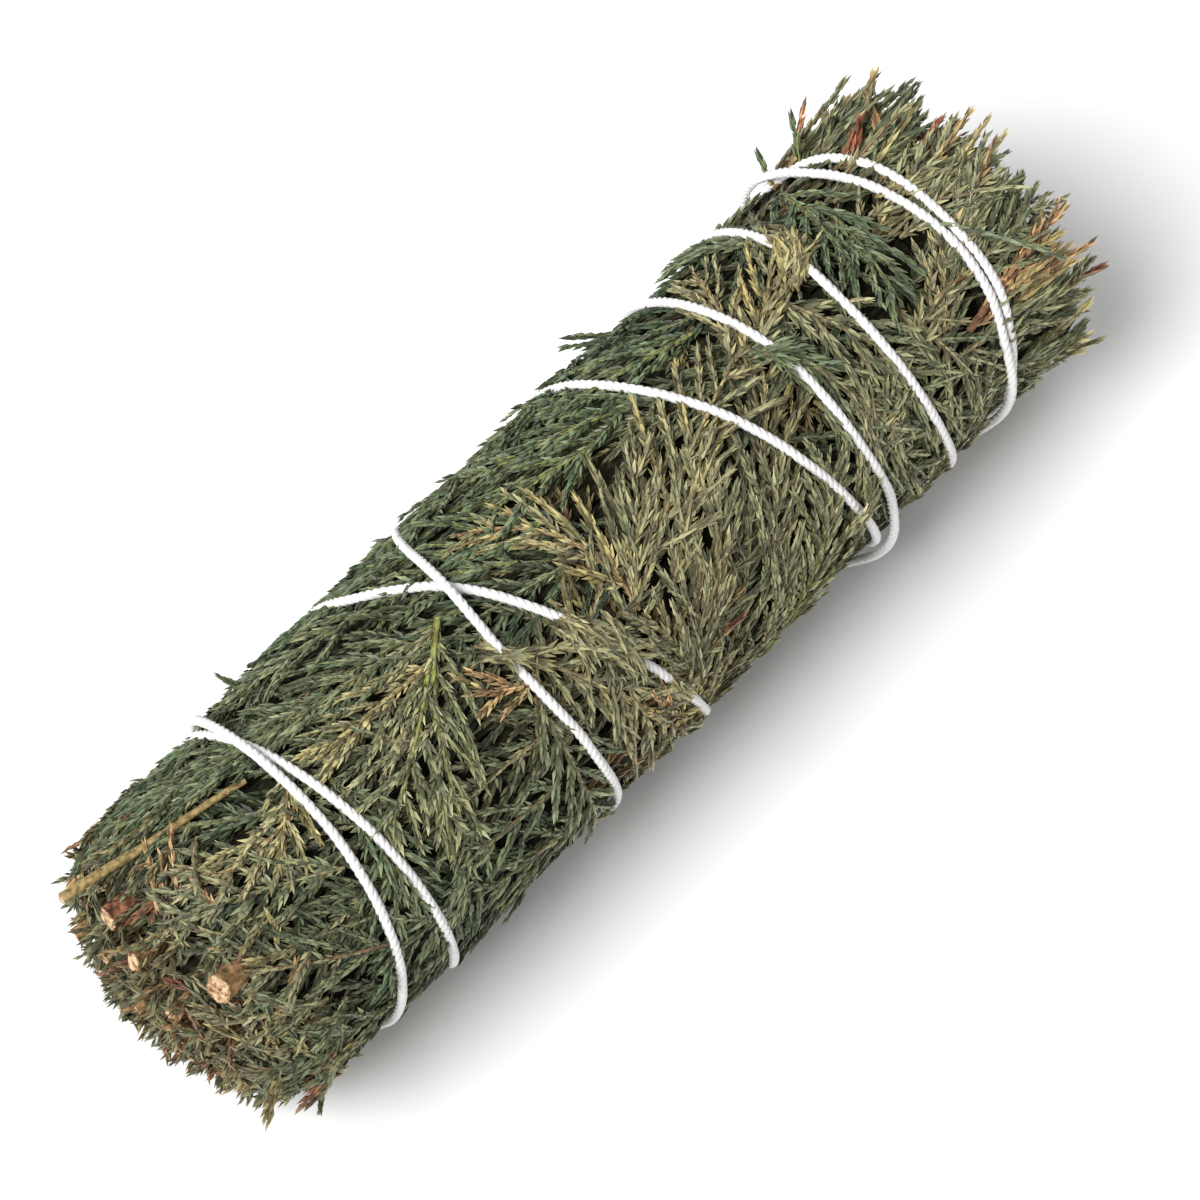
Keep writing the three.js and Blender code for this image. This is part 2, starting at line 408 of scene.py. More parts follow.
twine = {
    "sunk": 0.75 * mm,
    "beside": 1.25 * mm,
    "over": 1.55 * mm,
    "stepsPerTurn": 192,
    "pitch": 2.9 * mm,
    "plyOffset": 0.22 * mm,
    "plyRadius": 0.39 * mm,
    "route": [  # degrees wound, x
        (-110, -44.5), (-70, -43.8), (20, -41.4), (110, -39.1), (200, -31), (290, -22.6),
        (315, -21), (347, -14.3), (380, -9), (425, -2.6), (470, 2.9), (560, 8.5), (650, 14.1),
        (690, 16.8), (740, 23), (785, 27.8), (830, 32.2), (920, 37.5), (1010, 42.4), (1055, 42.9),
        (1100, 41.8), (1145, 42.4), (1190, 45.4), (1280, 49.5), (1370, 53), (1390, 56.3),
        (1412, 57.9), (1460, 58.3), (1487, 57.9), (1509, 56.5), (1550, 54.8), (1640, 54),
        (1730, 52.6), (1758, 54.5), (1792, 56.2), (1820, 57), (1847, 56.6), (1869, 55.2),
        (1910, 53.3), (1945, 46.9), (2000, 40.5), (2090, 30), (2127, 30.7), (2165, 31.9),
        (2212, 32.3), (2256, 33.6), (2278, 32.6), (2360, 12), (2450, -8.4), (2507, -15),
        (2540, -16.4), (2582, -15.1), (2630, -13), (2720, -27), (2810, -41.1), (2900, -44.5),
        (2990, -48.5), (3060, -48.6), (3130, -46),
    ],
    "knot": {"degrees": 250, "x": -45.25 * mm, "size": 0.62 * mm},
    "tail": 8 * mm,
}


def smoothThrough(knots, spots):
    t, x = np.array(knots, float).T
    slope = np.gradient(x, t)
    i = np.clip(np.searchsorted(t, spots, "right") - 1, 0, len(t) - 2)
    step = t[i + 1] - t[i]
    u = (spots - t[i]) / step
    a, b = (1 + 2 * u) * (1 - u) ** 2, u * (1 - u) ** 2
    c, d = u * u * (3 - 2 * u), u * u * (u - 1)
    return a * x[i] + b * step * slope[i] + c * x[i + 1] + d * step * slope[i + 1]


def onTable(points, least):
    points[..., 2] = np.maximum(points[..., 2], least)
    return points


def twineLine():
    first, last = twine["route"][0][0], twine["route"][-1][0]
    turned = np.linspace(first, last, int((last - first) / 360 * twine["stepsPerTurn"]) + 1)
    x = smoothThrough(twine["route"], turned) * mm
    flush = onTable(onBundle(x, turned, twine["sunk"]), twine["sunk"])
    rise = np.zeros(len(flush))
    half = twine["stepsPerTurn"] // 2
    for i in range(half, len(flush)):
        near = np.sqrt(((flush[: i - half] - flush[i]) ** 2).sum(1).min(initial=1))
        rise[i] = twine["over"] * math.sqrt(max(0, 1 - (near / twine["beside"]) ** 2))
    ease = np.cos(np.linspace(-1, 1, 25) * math.pi / 2)
    padded = np.pad(rise, 12)
    lift = np.array([(padded[i : i + 25] * ease).max() for i in range(len(rise))])
    return flush, onTable(onBundle(x, turned, twine["sunk"] - lift), twine["sunk"])


flushLine, raisedLine = twineLine()


# how far foliage is pushed in by the twine at each point
def pressedBy(points, normals, deep, reach):
    pressed = np.zeros(len(points))
    for first in range(0, len(points), 2000):
        part = slice(first, first + 2000)
        away = points[part, None] - flushLine[None, ::4]
        away -= (away * normals[part, None]).sum(2, keepdims=True) * normals[part, None]
        near = np.sqrt((away**2).sum(2).min(1))
        fade = np.clip((near - 0.7 * mm) / reach, 0, 1)
        pressed[part] = deep * (1 - fade * fade * (3 - 2 * fade))
    return pressed


def twistedTree():
    tree, given = startTree(
        "twistedTwine", {"Ply radius": 0.3 * mm, "Ply offset": 0.3 * mm, "Pitch": 3 * mm, "Step": 0.3 * mm}
    )
    curve = add(tree, "GeometryNodeMeshToCurve", {"Mesh": given["Geometry"]}).outputs[0]
    curve = add(
        tree, "GeometryNodeResampleCurve", {"Curve": curve, "Length": given["Step"]}, mode="LENGTH"
    ).outputs[0]
    along = add(tree, "GeometryNodeSplineParameter").outputs["Length"]
    tangent = add(tree, "GeometryNodeInputTangent").outputs[0]
    normal = add(tree, "GeometryNodeInputNormal").outputs[0]
    join = tree.nodes.new("GeometryNodeJoinGeometry")
    profile = add(
        tree, "GeometryNodeCurvePrimitiveCircle", {"Resolution": 5, "Radius": given["Ply radius"]}
    ).outputs[0]
    for ply in range(3):
        turn = maths(
            tree, "ADD",
            maths(tree, "MULTIPLY", maths(tree, "DIVIDE", along, given["Pitch"]), 2 * math.pi),
            ply * 2.0944
        )
        into = {"Vector": normal, "Axis": tangent, "Angle": turn}
        side = add(tree, "ShaderNodeVectorRotate", into, rotation_type="AXIS_ANGLE").outputs[0]
        offset = vectorMaths(tree, "SCALE", side, scale=given["Ply offset"])
        strand = add(tree, "GeometryNodeSetPosition", {"Geometry": curve, "Offset": offset}).outputs[0]
        tube = add(
            tree, "GeometryNodeCurveToMesh", {"Curve": strand, "Profile Curve": profile, "Fill Caps": True}
        ).outputs[0]
        tree.links.new(tube, join.inputs[0])
    smooth = add(
        tree, "GeometryNodeSetShadeSmooth", {"Geometry": join.outputs[0], "Shade Smooth": True}
    ).outputs[0]
    endTree(tree, withMaterial(tree, smooth, twineFinish))
    return tree


def finish(piece, name, nodeName, lowest=0.05 * mm):
    mesh = piece.data
    spots = np.empty(len(mesh.vertices) * 3, np.float32)
    mesh.vertices.foreach_get("co", spots)
    spots[2::3] = np.maximum(spots[2::3], lowest)  # nothing sinks into the table
    mesh.vertices.foreach_set("co", spots)
    mesh.update()
    piece.name = mesh.name = name
    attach(piece, "root")
    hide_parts(nodeName)
    return piece


def addTwine():
    knot = twine["knot"]
    centre = onBundle(knot["x"], knot["degrees"], -0.3 * mm)
    out = radialOf(np.array(float(knot["degrees"])))
    roundWay = np.cross(out, (1, 0, 0))
    t = np.linspace(0, 2 * math.pi, 61)
    loops = np.stack(
        [np.sin(t) + 2 * np.sin(2 * t), np.cos(t) - 2 * np.cos(2 * t), -1.1 * np.sin(3 * t)], 1
    ) * knot["size"]
    tied = centre + loops[:, :1] * (1, 0, 0) + loops[:, 1:2] * roundWay * 0.8 + loops[:, 2:] * out
    share = np.linspace(0, 1, 20)
    tails = []
    for side in (1, -1):
        x = knot["x"] + side * share * twine["tail"]
        bend = 3 + 10 * share**2 + 3 * np.sin(share * 4 + side)
        tails.append(onBundle(x, knot["degrees"] - bend, -0.5 * mm))
    lines = [raisedLine, tied, *tails]
    values = {
        "Ply radius": twine["plyRadius"], "Ply offset": twine["plyOffset"], "Pitch": twine["pitch"],
        "Step": 0.29 * mm
    }
    piece = bpy.data.objects.new(
        "twisted_twine", grown(lineMesh("twineLine", lines), twistedTree(), values)
    )
    scene.collection.objects.link(piece)
    finish(piece, "twisted_twine", "twine", 0.1 * mm)


addTwine()
print("twine wound")

# foliage
# every shoot is a line with a few points; the needles are set along it by Geometry Nodes

shoots = {
    "steps": 6,
    "gap": 0.335 * mm,  # along a shoot between one needle and the next, taking its three rows in turn
    "needleLength": 1.95 * mm,
    "needleWidth": 0.31 * mm,
    "spread": 0.5,
    "twigRadius": 0.17 * mm,
}


def needleTree():
    tree, given = startTree(
        "needledShoots",
        {
            "Gap": 0.3 * mm, "Needle length": 2 * mm, "Needle width": 0.2 * mm, "Spread": 0.5,
            "Twig radius": 0.2 * mm
        },
    )
    curves = add(tree, "GeometryNodeMeshToCurve", {"Mesh": given["Geometry"]}).outputs[0]
    factor = add(tree, "GeometryNodeSplineParameter").outputs["Factor"]
    curves = store(tree, curves, "reach", factor)
    # twigs, only where they can be seen
    bare = add(
        tree, "FunctionNodeCompare", {0: stored(tree, "woody"), 1: 0.05}, operation="LESS_THAN"
    ).outputs[0]
    seen = add(
        tree, "GeometryNodeDeleteGeometry", {"Geometry": curves, "Selection": bare}, domain="CURVE"
    ).outputs[0]
    thin = maths(
        tree, "MULTIPLY", maths(tree, "SUBTRACT", 1.0, maths(tree, "MULTIPLY", factor, 0.6)),
        given["Twig radius"]
    )
    thick = maths(tree, "MULTIPLY", thin, stored(tree, "woody"))
    ring = add(tree, "GeometryNodeCurvePrimitiveCircle", {"Resolution": 3, "Radius": 1.0}).outputs[0]
    into = {"Curve": seen, "Profile Curve": ring, "Scale": thick, "Fill Caps": True}
    twigs = add(tree, "GeometryNodeCurveToMesh", into).outputs[0]
    twigs = add(tree, "GeometryNodeSetShadeSmooth", {"Geometry": twigs, "Shade Smooth": True}).outputs[0]
    twigs = withMaterial(tree, twigs, twigFinish)
    # which way each needle points: left, up or right of its shoot, leaning forward
    spots = add(tree, "GeometryNodeCurveToPoints", {"Curve": curves, "Length": given["Gap"]}, mode="LENGTH")
    index = add(tree, "GeometryNodeInputIndex").outputs[0]
    row = maths(tree, "SUBTRACT", maths(tree, "MODULO", index, 3.0), 1.0)
    reach = stored(tree, "reach")
    outward = vectorMaths(tree, "NORMALIZE", stored(tree, "outward", "FLOAT_VECTOR"))
    tangent = spots.outputs["Tangent"]
    side = vectorMaths(tree, "NORMALIZE", vectorMaths(tree, "CROSS_PRODUCT", outward, tangent))
    close = maths(
        tree, "MULTIPLY", given["Spread"], maths(tree, "SUBTRACT", 1.0, maths(tree, "MULTIPLY", reach, 0.4))
    )
    spread = maths(tree, "ADD", close, randomValue(tree, -0.1, 0.13, 3))
    upright = maths(tree, "SUBTRACT", 1.0, maths(tree, "ABSOLUTE", row))
    rise = maths(tree, "ADD", maths(tree, "MULTIPLY", upright, 0.3), randomValue(tree, -0.16, 0.18, 5))
    forward = vectorMaths(tree, "SCALE", tangent, scale=maths(tree, "COSINE", spread))
    sideways = vectorMaths(
        tree, "SCALE", side, scale=maths(tree, "MULTIPLY", row, maths(tree, "SINE", spread))
    )
    upwards = vectorMaths(tree, "SCALE", outward, scale=rise)
    aim = vectorMaths(tree, "ADD", vectorMaths(tree, "ADD", forward, sideways), upwards)
    turned = add(tree, "FunctionNodeAlignRotationToVector", {"Vector": aim}, axis="Z").outputs[0]
    into = {"Rotation": turned, "Vector": tangent}
    turned = add(tree, "FunctionNodeAlignRotationToVector", into, axis="X", pivot_axis="Z").outputs[0]
    # one needle: a three-sided spindle, fattest before the middle and bent forward
    ball = add(tree, "GeometryNodeMeshUVSphere", {"Segments": 3, "Rings": 2, "Radius": 0.5}).outputs["Mesh"]
    split = add(
        tree, "ShaderNodeSeparateXYZ", {0: add(tree, "GeometryNodeInputPosition").outputs[0]}
    ).outputs
    along = maths(tree, "ADD", split["Z"], 0.5)
    ball = store(tree, ball, "along", along)
    wide = maths(tree, "MULTIPLY", given["Needle width"], 2.0)
    bow = maths(
        tree, "MULTIPLY", maths(tree, "MULTIPLY", along, along),
        maths(tree, "MULTIPLY", given["Needle length"], 0.15)
    )
    into = {
        "X": maths(tree, "ADD", maths(tree, "MULTIPLY", split["X"], wide), bow),
        "Y": maths(tree, "MULTIPLY", maths(tree, "MULTIPLY", split["Y"], wide), 0.8),
        "Z": maths(tree, "MULTIPLY", maths(tree, "POWER", along, 1.25), given["Needle length"]),
    }
    shape = add(tree, "ShaderNodeCombineXYZ", into).outputs[0]
    needle = add(tree, "GeometryNodeSetPosition", {"Geometry": ball, "Position": shape}).outputs[0]
    # set along the shoot, smaller towards its tip
    taper = maths(tree, "SUBTRACT", 1.0, maths(tree, "MULTIPLY", maths(tree, "POWER", reach, 3.0), 0.25))
    size = maths(
        tree, "MULTIPLY", maths(tree, "MULTIPLY", taper, randomValue(tree, 0.7, 1.2, 7)),
        stored(tree, "plump")
    )
    sizes = add(tree, "ShaderNodeCombineXYZ", {0: size, 1: size, 2: size}).outputs[0]
    into = {"Points": spots.outputs["Points"], "Instance": needle, "Rotation": turned, "Scale": sizes}
    placed = add(tree, "GeometryNodeInstanceOnPoints", into).outputs[0]
    placed = store(tree, placed, "shade", randomValue(tree, 0.0, 1.0, 11), "INSTANCE")
    needles = withMaterial(tree, placed, needleFinish)
    join = tree.nodes.new("GeometryNodeJoinGeometry")
    tree.links.new(twigs, join.inputs[0])
    tree.links.new(needles, join.inputs[0])
    endTree(tree, join.outputs[0])
    return tree


def turnedAbout(vectors, axes, angle):
    c, s = np.cos(angle)[:, None], np.sin(angle)[:, None]
    along = axes * (axes * vectors).sum(1, keepdims=True)
    return vectors * c + np.cross(axes, vectors) * s + along * (1 - c)


# places where foliage lies over the twine:
# x, degrees round, how far it is covered, heading of the shoots there
buried = [
    (-16.3, 19.4, 1.0, 60),
    (-8.6, 31, 2.4, 75),
    (-6.6, 38, 2.4, 70),
    (-4.6, 45, 2.2, 75),
    (-2.1, 70, 1.2, 60),
    (42.6, -15.6, 1.8, -60),
    (41.5, -11, 1.4, -45),
    (31.8, 10, 1.3, 50),
    (28.5, 71, 1.4, -50),
]


# moves points onto the bundle at their depth, pushed in by the twine unless they are to cover it
def lay(points, depth):
    flat, normal = settle(points, depth)
    openness = np.zeros(len(points))
    for x, degrees, size, _ in buried:
        away = np.linalg.norm(flat - onBundle(x * mm, degrees, 0.5 * mm), axis=1)
        openness = np.maximum(openness, np.clip(1.8 - away / (size * mm), 0, 1))
    openness *= depth < 0.8 * mm
    pushed = np.maximum(depth, pressedBy(flat, normal, 1.1 * mm, 1.4 * mm))
    return settle(points, pushed * (1 - openness) - 0.55 * mm * openness)


def coverShoots(rng):
    x, degrees, size, heading = np.repeat(np.array(buried, float), 5, 0).T
    count = len(x)
    spot, normal = settle(onBundle(x * mm, degrees, 0), np.zeros(count))
    way = headingsAt(spot, normal, heading + rng.normal(0, 16, count))
    length = rng.uniform(5.5, 8.5, count) * mm
    across = np.cross(normal, way) * (rng.uniform(-0.6, 0.6, count) * size * mm)[:, None]
    start = spot - way * (length * 0.55)[:, None] + across
    lines, outs = growOver(
        start, way, length, rng.normal(0, 0.2, count), np.full(count, 0.4 * mm), np.full(count, 0.1 * mm)
    )
    dry = np.where(x > 35, 0.6, np.where(x > 30, 0.1, 0.46)) + rng.normal(0, 0.05, count)
    return [(x[n], degrees[n], shoot(lines[n], outs[n], dry[n], 0.5, 1.0, 1.2)) for n in range(count)]


# short cut bits lying every way over the rounded end
def crumbs(rng, count=140):
    height = rng.uniform(-1, -0.1, count)
    turn = rng.uniform(0, 360, count)
    radius = np.sqrt(1 - height**2) * radiusAt(bundle["domeFrom"])
    start = radialOf(turn) * radius[:, None]
    start[:, 0] = bundle["domeFrom"] + bundle["domeLength"] * height
    start[:, 2] += bundle["axisHeight"]
    spot, normal = settle(start, np.full(count, 0.8 * mm))
    way = turnedAbout(unit(np.cross(normal, (0.1, 0.5, 0.86))), normal, rng.uniform(0, 2 * math.pi, count))
    length = rng.uniform(3.5, 7, count) * mm
    lines, outs = growOver(
        spot, way, length, rng.normal(0, 0.5, count), rng.uniform(0.8, 2.4, count) * mm,
        rng.uniform(0, 1.2, count) * mm
    )
    dry = rng.choice([0.12, 0.3, 0.5, 0.66, 0.82, 0.97], count, p=[0.18, 0.2, 0.26, 0.2, 0.1, 0.06])
    return [
        (0, turn[n], shoot(lines[n], outs[n], dry[n], rng.uniform(0.3, 1), 0.9, 1.2)) for n in range(count)
    ]


# grows shoots over the bundle, all at once: each curls as it goes and changes depth from its root to its tip
def growOver(start, heading, length, curl, depthFrom, depthTo):
    steps = shoots["steps"]
    spots, outs = np.empty((steps + 1, len(start), 3)), np.empty((steps + 1, len(start), 3))
    here, way = start.copy(), heading.copy()
    for k in range(steps + 1):
        flat, normal = lay(here, depthFrom + (depthTo - depthFrom) * k / steps)
        spots[k], outs[k] = flat, normal
        way = unit(way - normal * (way * normal).sum(1, keepdims=True))
        way = turnedAbout(way, normal, curl / steps)
        here = flat + way * (length / steps)[:, None]
    return spots.transpose(1, 0, 2), outs.transpose(1, 0, 2)


# 0 degrees points to the tips, 90 towards growing angles round the bundle
def headingsAt(points, normals, degrees):
    along = np.zeros_like(points)
    along[:, 0] = 1
    along = unit(along - normals * normals[:, :1])
    return turnedAbout(along, normals, -np.radians(degrees))


class Spray:
    def __init__(
        self, x, degrees, heading, length, wide=12, angle=36, dry=0.25, stem=0.3, bend=0, depth=0.45,
        thick=1.0
    ):
        self.x, self.degrees, self.heading, self.length = x, degrees, heading, length
        self.wide, self.angle, self.dry, self.stem = wide, angle, dry, stem
        self.bend, self.depth, self.thick = bend, depth, thick


# the sprays that can be told apart: x, degrees round, heading, length, reach of side shoots, their angle,
# dryness of the needles, colour of the stem, bend
chosenSprays = [
    # cut end
    Spray(-34, -14, -157, 26, 10, 30, 0.08, 0.3),
    Spray(-44, -20, -155, 20, 9, 30, 0.12, 0.3),
    Spray(-41, -46, -154, 19, 9, 32, 0.05, 0.3),
    Spray(-42, -7, 142, 12, 8, 30, 0.55, 0.7),
    Spray(-45, 4, 160, 16, 8, 34, 0.6, 0.8, 50),
    Spray(-46, 30, -152, 21, 11, 36, 0.28, 0.5),
    Spray(-47, 63, -147, 22, 11, 38, 0.18, 0.8, thick=1.4),
    Spray(-56, 62, -160, 17, 9, 34, 0.5, 0.45),
    Spray(-54, 68, 140, 17, 10, 34, 0.15, 0.5),
    Spray(-48, 93, -157, 19, 10, 34, 0.2, 0.5),
    Spray(-62, 84, -150, 14, 7, 26, 0.62, 0.45),
    Spray(-47, -62, -170, 20, 10, 34, 0.1, 0.4),
    Spray(-40, 4, 95, 20, 7, 30, 0.12, 0.3),
    Spray(-38, 20, 120, 16, 8, 30, 0.12, 0.4),
    # left of the crossing
    Spray(-18, -8, 150, 26, 12, 30, 0.36, 0.1, -40, 0.15, 1.5),
    Spray(-24, 4, 145, 19, 10, 32, 0.38, 0.1, 8, 0.15, 1.4),
    Spray(-33, 23, 100, 9, 6, 30, 0.38, 0.1, 0, 0.15, 1.6),
    Spray(-22, 2, -176, 17, 11, 30, 0.58, 0.5),
    Spray(-21, -7, -166, 22, 11, 30, 0.18, 0.4),
    Spray(-21, -33, -158, 20, 10, 32, 0.16, 0.4),
    Spray(-32, 12, -150, 14, 9, 30, 0.2, 0.5),
    Spray(-15, 33, -148, 9, 6, 34, 0.76, 0.95),
    Spray(-17, 34, 101, 24, 10, 34, 0.22, 0.6, -22),
    Spray(-20, 65, -172, 16, 9, 36, 0.16, 0.7),
    Spray(-18, 91, -162, 17, 9, 36, 0.2, 0.6),
    Spray(-34, 70, -176, 15, 9, 36, 0.15, 0.5),
    Spray(-30, 45, 130, 18, 10, 34, 0.16, 0.4),
    Spray(-12, -40, -150, 20, 10, 34, 0.1, 0.3),
    # the wide fan over the crossing and the upright olive ones
    Spray(-16, 14, 60, 32, 14, 38, 0.46, 0.6, 10),
    Spray(-8, 14, 88, 22, 11, 32, 0.45, 0.5),
    Spray(-1, 38, -72, 24, 10, 32, 0.6, 0.75, -64, thick=1.5),
    Spray(-5, 46, -44, 22, 10, 24, 0.46, 0.55),
    Spray(3, 41, -33, 17, 9, 24, 0.48, 0.6),
    Spray(4, 65, -49, 18, 10, 25, 0.44, 0.5),
    Spray(12, 74, -53, 17, 10, 25, 0.42, 0.5),
    Spray(20, 87, -60, 16, 9, 25, 0.38, 0.5),
    Spray(0, 80, -64, 17, 9, 25, 0.4, 0.5),
    Spray(10, 106, -64, 18, 9, 28, 0.42, 0.5),
    Spray(-3, 103, -100, 13, 7, 36, 0.74, 0.7),
    Spray(3, 28, -25, 30, 12, 34, 0.52, 0.6, 8, thick=1.4),
    Spray(26, 76, -38, 18, 10, 28, 0.42, 0.5),
    # dark green along the upper edge
    Spray(11, -14, -168, 16, 10, 34, 0.06, 0.12),
    Spray(18, -13, -152, 22, 11, 32, 0.05, 0.2),
    Spray(0, -3, -145, 17, 11, 36, 0.08, 0.2),
    Spray(21, -45, -172, 15, 10, 36, 0.05, 0.2),
    Spray(28, -20, -162, 18, 10, 34, 0.07, 0.2),
    Spray(-7, -3, -142, 15, 10, 36, 0.1, 0.2),
    Spray(2, -45, -160, 18, 10, 34, 0.06, 0.2),
    # towards the tips
    Spray(31, 2, -32, 15, 10, 34, 0.6, 0.6, thick=1.4),
    Spray(29, 2, -66, 16, 9, 32, 0.55, 0.6),
    Spray(29, -3, 58, 11, 7, 30, 0.1, 0.2),
    Spray(33, 11, 76, 18, 11, 32, 0.36, 0.5),
    Spray(37, -4, 70, 16, 11, 30, 0.4, 0.5),
    Spray(31, 29, 68, 20, 11, 34, 0.28, 0.5),
    Spray(51, -26, 104, 17, 10, 34, 0.04, 0.3),
    Spray(51, -47, 106, 16, 10, 34, 0.04, 0.3),
    Spray(42, -24, -92, 17, 10, 34, 0.06, 0.3),
    Spray(49, 45, -48, 12, 8, 30, 0.55, 0.6),
    Spray(44, 42, -40, 12, 6, 34, 0.5, 0.7, 50, thick=1.8),
    Spray(39, 26, 70, 19, 11, 32, 0.32, 0.5),
    Spray(46, 24, 76, 18, 10, 32, 0.4, 0.6),
    # at the tips
    Spray(53, 27, -20, 13, 8, 30, 0.38, 0.15),
    Spray(52, 52, -6, 18, 7, 28, 0.8, 0.85, -12, thick=1.6),
    Spray(52, 36, -2, 17, 9, 30, 0.34, 0.5),
    Spray(50, 57, 12, 19, 9, 28, 0.4, 0.6),
    Spray(50, 76, 24, 18, 9, 30, 0.3, 0.5),
    Spray(53, 9, 0, 15, 8, 30, 0.3, 0.5),
    Spray(52, -20, 4, 15, 8, 32, 0.12, 0.5),
    Spray(51, -44, -6, 16, 8, 32, 0.12, 0.5),
    Spray(53, -4, 4, 14, 8, 32, 0.4, 0.4),
    Spray(53, -62, -10, 16, 7, 30, 0.66, 0.7),
    Spray(51, 92, 10, 17, 9, 30, 0.24, 0.5),
]


# the usual heading of the sprays at a place, and how dry they are there
def habitAt(x, degrees):
    around = (degrees + 180) % 360 - 180
    if x > 46:
        return 0, 0.3
    if -80 < around < 12:
        return (-157, 0.1) if x < 40 else (100, 0.05)
    if 12 <= around < 125:
        if x < -12:
            return (-160, 0.2)
        return (-45, 0.42) if x < 27 or around > 70 else (70, 0.34)
    # the far side, after the same manner
    turn = math.radians(2 * around)
    heading = 180 + 32 * math.sin(turn) if x < 6 else 50 * math.cos(turn + x / 20)
    return heading, 0.22 + 0.12 * math.sin(turn + x / 15)


def fillingSprays(rng, count):
    sprays = []
    for layer, depth in enumerate((2.2, 1.25)):
        for row in range(8):
            for n in range(count):
                x = -63 + 16.2 * (row + 0.5 * layer + rng.uniform(-0.25, 0.25))
                degrees = (n + 0.5 + 0.5 * row + rng.uniform(-0.3, 0.3)) * 360 / count
                heading, dry = habitAt(x, degrees)
                heading += rng.normal(0, 15)
                length = rng.uniform(25, 34) if x < 40 else rng.uniform(17, 21)
                turn = math.radians(heading)
                x -= math.cos(turn) * length * 0.5
                degrees -= math.degrees(math.sin(turn) * length * 0.5 / 20)
                x = min(max(x, -56), 52)
                dry = min(max(dry + rng.normal(0, 0.11) + (0.12 if layer == 0 else 0), 0), 0.8)
                wide, angle = rng.uniform(10, 13), rng.uniform(30, 42)
                sprays.append(
                    Spray(
                        x, degrees, heading, length, wide, angle, dry, rng.uniform(0.2, 0.8),
                        rng.uniform(-20, 20), depth
                    )
                )
    # a top layer on the far side, where none was picked out
    for n in range(44):
        x, degrees = -50 + 103 * ((n * 0.618) % 1), 98 + 200 * (n + 0.5) / 44
        heading, dry = habitAt(x, degrees)
        heading += rng.normal(0, 22)
        dry = min(max(dry + rng.normal(0.03, 0.16), 0), 0.85)
        length = rng.uniform(17, 27) if x < 44 else 17
        sprays.append(
            Spray(
                x, degrees, heading, length, rng.uniform(9, 12), rng.uniform(28, 38), dry,
                rng.uniform(0.1, 0.9), rng.uniform(-30, 30)
            )
        )
    return sprays


# a shoot as the tree reads it: its line, the way out of the bundle along it, and how it looks
def shoot(line, out, dry, stem, plump=1.0, woody=1.0, depthShade=1.0):
    return {
        "line": line, "outward": out, "dry": dry, "stem": stem, "plump": plump, "woody": woody,
        "depthShade": depthShade
    }


def shootsOf(sprays, rng):
    flat, normal = lay(
        onBundle([s.x * mm for s in sprays], [s.degrees for s in sprays], 0),
        np.array([s.depth for s in sprays]) * mm
    )
    heading = headingsAt(flat, normal, np.array([s.heading for s in sprays], float))
    depth = np.array([s.depth for s in sprays]) * mm
    length = np.array([s.length for s in sprays]) * mm
    stems, outs = growOver(
        flat, heading, length, -np.radians([s.bend for s in sprays]), depth + 0.8 * mm, depth
    )
    made = [
        (s.x, s.degrees, shoot(stems[n], outs[n], s.dry + 0.08, s.stem, 0.85, 1.9 * s.thick))
        for n, s in enumerate(sprays)
    ]
    sides = []
    for n, s in enumerate(sprays):
        count = max(5, round(s.length / (1.95 if s.depth < 2 else 2.8)))
        for j in range(count):
            u = 0.04 + 0.92 * (j + rng.uniform(-0.25, 0.25)) / count
            k = min(int(u * shoots["steps"]), shoots["steps"] - 1)
            step = stems[n][k + 1] - stems[n][k]
            hand = 1 if j % 2 else -1
            profile = min(1, 0.55 + 1.8 * u) * (1 - 0.7 * max(0, u - 0.35) / 0.65)
            sides.append(
                {
                    "spray": s,
                    "start": stems[n][k] + step * (u * shoots["steps"] - k),
                    "way": unit(step),
                    "out": outs[n][k],
                    "turn": hand * math.radians(s.angle + rng.normal(0, 6)),
                    "curl": -hand * math.radians(rng.uniform(0, 22)),
                    "length": s.wide * mm * profile * rng.uniform(0.75, 1.12),
                    "from": (s.depth + 0.7 * (1 - u)) * mm,
                    "to": max(s.depth - rng.uniform(-0.4, 0.6), 0.0) * mm,
                    "dry": min(max(s.dry + rng.normal(0, 0.06), 0), 1),
                }
            )
    gather = lambda key: np.array([side[key] for side in sides])
    way = turnedAbout(gather("way"), gather("out"), gather("turn"))
    lines, outs = growOver(
        gather("start"), way, gather("length"), gather("curl"), gather("from"), gather("to")
    )
    for side, line, out in zip(sides, lines, outs):
        s = side["spray"]
        woody = 1.0 if s.depth < 1 else 0.0
        # painted shade: the deeper the spray lies, the darker its needles are painted
        depthShade = float(np.interp(s.depth, (0.5, 1.25, 2.2), (1.0, 0.62, 0.45)))
        made.append(
            (s.x, s.degrees, shoot(line, out, side["dry"], s.stem, rng.uniform(0.88, 1.1), woody, depthShade))
        )
    return made


# short shoots that end at the two ends of the bundle: how far they come and how much they lean outwards
ends = {
    "tips": {
        "flat": 67, "dome": 2.5, "lean": 0.03, "length": (8, 12),
        "count": {"outer": 30, "inner": 24, "core": 16}
    },
    "cut": {
        "flat": 57.5, "dome": 11, "lean": 0.1, "length": (4, 6.5),
        "count": {"outer": 14, "inner": 20, "core": 18}
    },
}


